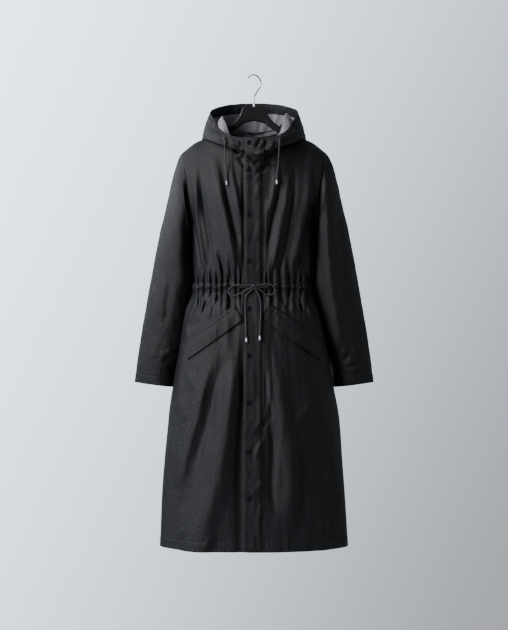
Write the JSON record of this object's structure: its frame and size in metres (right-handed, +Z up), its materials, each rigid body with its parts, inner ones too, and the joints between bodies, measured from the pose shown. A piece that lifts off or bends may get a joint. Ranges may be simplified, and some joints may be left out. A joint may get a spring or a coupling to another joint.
{
  "type": "hooded long raincoat on a hanger",
  "caption": "Long hooded raincoat with a snapped storm flap, drawcord waist and slanted pocket flaps, hanging open-necked on a moulded hanger.",
  "frame": {"origin": "inner top of the hook's crook, where the hanger bears on the rod that holds it", "axes": "+Z up, -Y is the coat's front, +X is to the right as one looks at the front"},
  "size_m": [0.6424, 0.2687, 1.2697],
  "materials": {
    "coat_cloth": "smooth matt woven, water-repellent",
    "grey_lining": "matt woven",
    "cord": "braided",
    "dark_metal": "satin black",
    "tip_metal": "polished",
    "hook_metal": "polished",
    "hanger_plastic": "satin"
  },
  "bodies": {
    "root": {"front_left": "coat_cloth", "front_right": "coat_cloth", "back": "coat_cloth", "sleeve_left": "coat_cloth", "sleeve_right": "coat_cloth", "hood": "coat_cloth", "hood_facing": "coat_cloth", "hood_lining": "grey_lining", "neck_lining": "grey_lining", "neck_loop": "coat_cloth", "storm_flap": "coat_cloth", "pocket_flap_left": "coat_cloth", "pocket_flap_right": "coat_cloth", "casing_left": "coat_cloth", "casing_right": "coat_cloth", "casing_back": "coat_cloth", "snap_01": "dark_metal", "snap_02": "dark_metal", "snap_03": "dark_metal", "snap_04": "dark_metal", "snap_05": "dark_metal", "snap_06": "dark_metal", "snap_07": "dark_metal", "snap_08": "dark_metal", "snap_09": "dark_metal", "snap_10": "dark_metal", "hood_eyelet_left": "dark_metal", "hood_eyelet_right": "dark_metal", "waist_eyelet_left": "dark_metal", "waist_eyelet_right": "dark_metal", "hood_cord_left": "cord", "hood_cord_right": "cord", "waist_lead_left": "cord", "waist_lead_right": "cord", "waist_loop_left": "cord", "waist_loop_right": "cord", "waist_end_left": "cord", "waist_end_right": "cord", "waist_knot": "cord", "hood_tip_left": "tip_metal", "hood_tip_right": "tip_metal", "waist_tip_left": "tip_metal", "waist_tip_right": "tip_metal", "hanger": "hanger_plastic", "hook": "hook_metal"}
  },
  "joints": []
}
